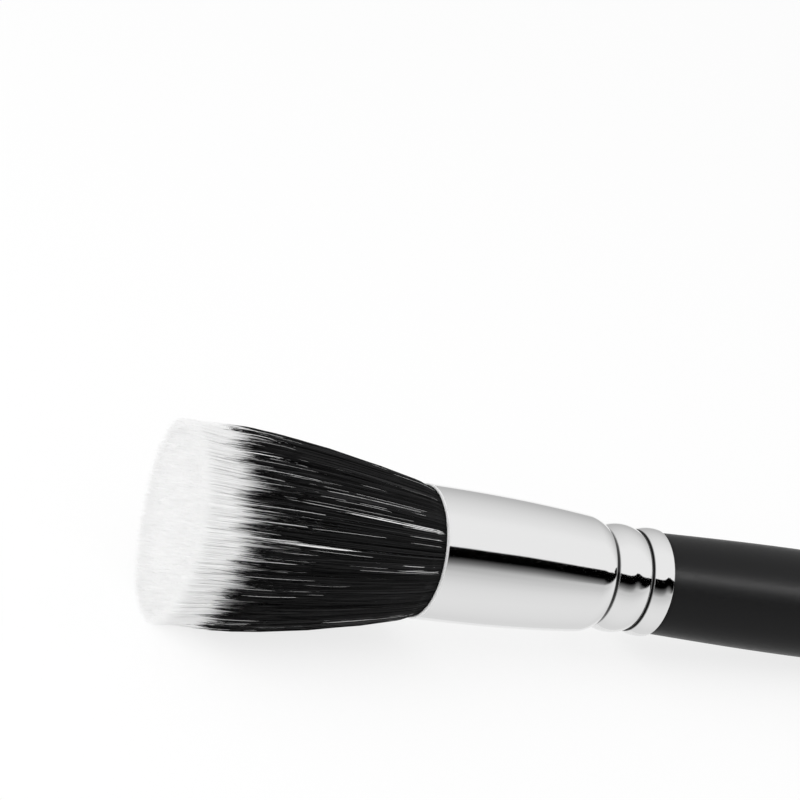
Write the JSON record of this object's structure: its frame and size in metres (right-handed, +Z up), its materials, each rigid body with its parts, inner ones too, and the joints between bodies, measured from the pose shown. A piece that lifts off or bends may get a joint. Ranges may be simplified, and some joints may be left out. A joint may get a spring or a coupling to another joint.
{
  "type": "duo fibre brush",
  "caption": "Round stippling brush: flared knot of short black hair and longer white fibre in a swaged nickel ferrule on a turned black handle.",
  "frame": {"origin": "centre of the bounding box at its base, on the table that the brush lies on", "axes": "+Z up from the table, +X along the brush from its tips to its handle's end, +Y across it. The brush's own axis falls by 2.92 degrees towards +X, because it rests on the edge of its tips and on the end of its handle."},
  "size_m": [0.1918, 0.0282, 0.028],
  "materials": {
    "black_lacquer": "satin black lacquer on turned birch",
    "polished_nickel": "polished nickel plate on drawn brass",
    "black_hair": "natural black hair",
    "white_fibre": "fine white synthetic fibre",
    "clear_resin": "set epoxy resin",
    "binding_thread": "undyed twisted thread",
    "wood_glue": "set glue"
  },
  "bodies": {
    "root": {"handle": "black_lacquer", "ferrule": "polished_nickel", "root_resin": "clear_resin", "tenon_glue": "wood_glue", "binding_thread": "binding_thread", "black_hair_1": "black_hair", "black_hair_2": "black_hair", "black_hair_3": "black_hair", "black_hair_4": "black_hair", "black_hair_5": "black_hair", "black_hair_6": "black_hair", "white_fibre_1": "white_fibre", "white_fibre_2": "white_fibre", "white_fibre_3": "white_fibre", "white_fibre_4": "white_fibre", "white_fibre_5": "white_fibre", "white_fibre_6": "white_fibre"}
  },
  "joints": []
}
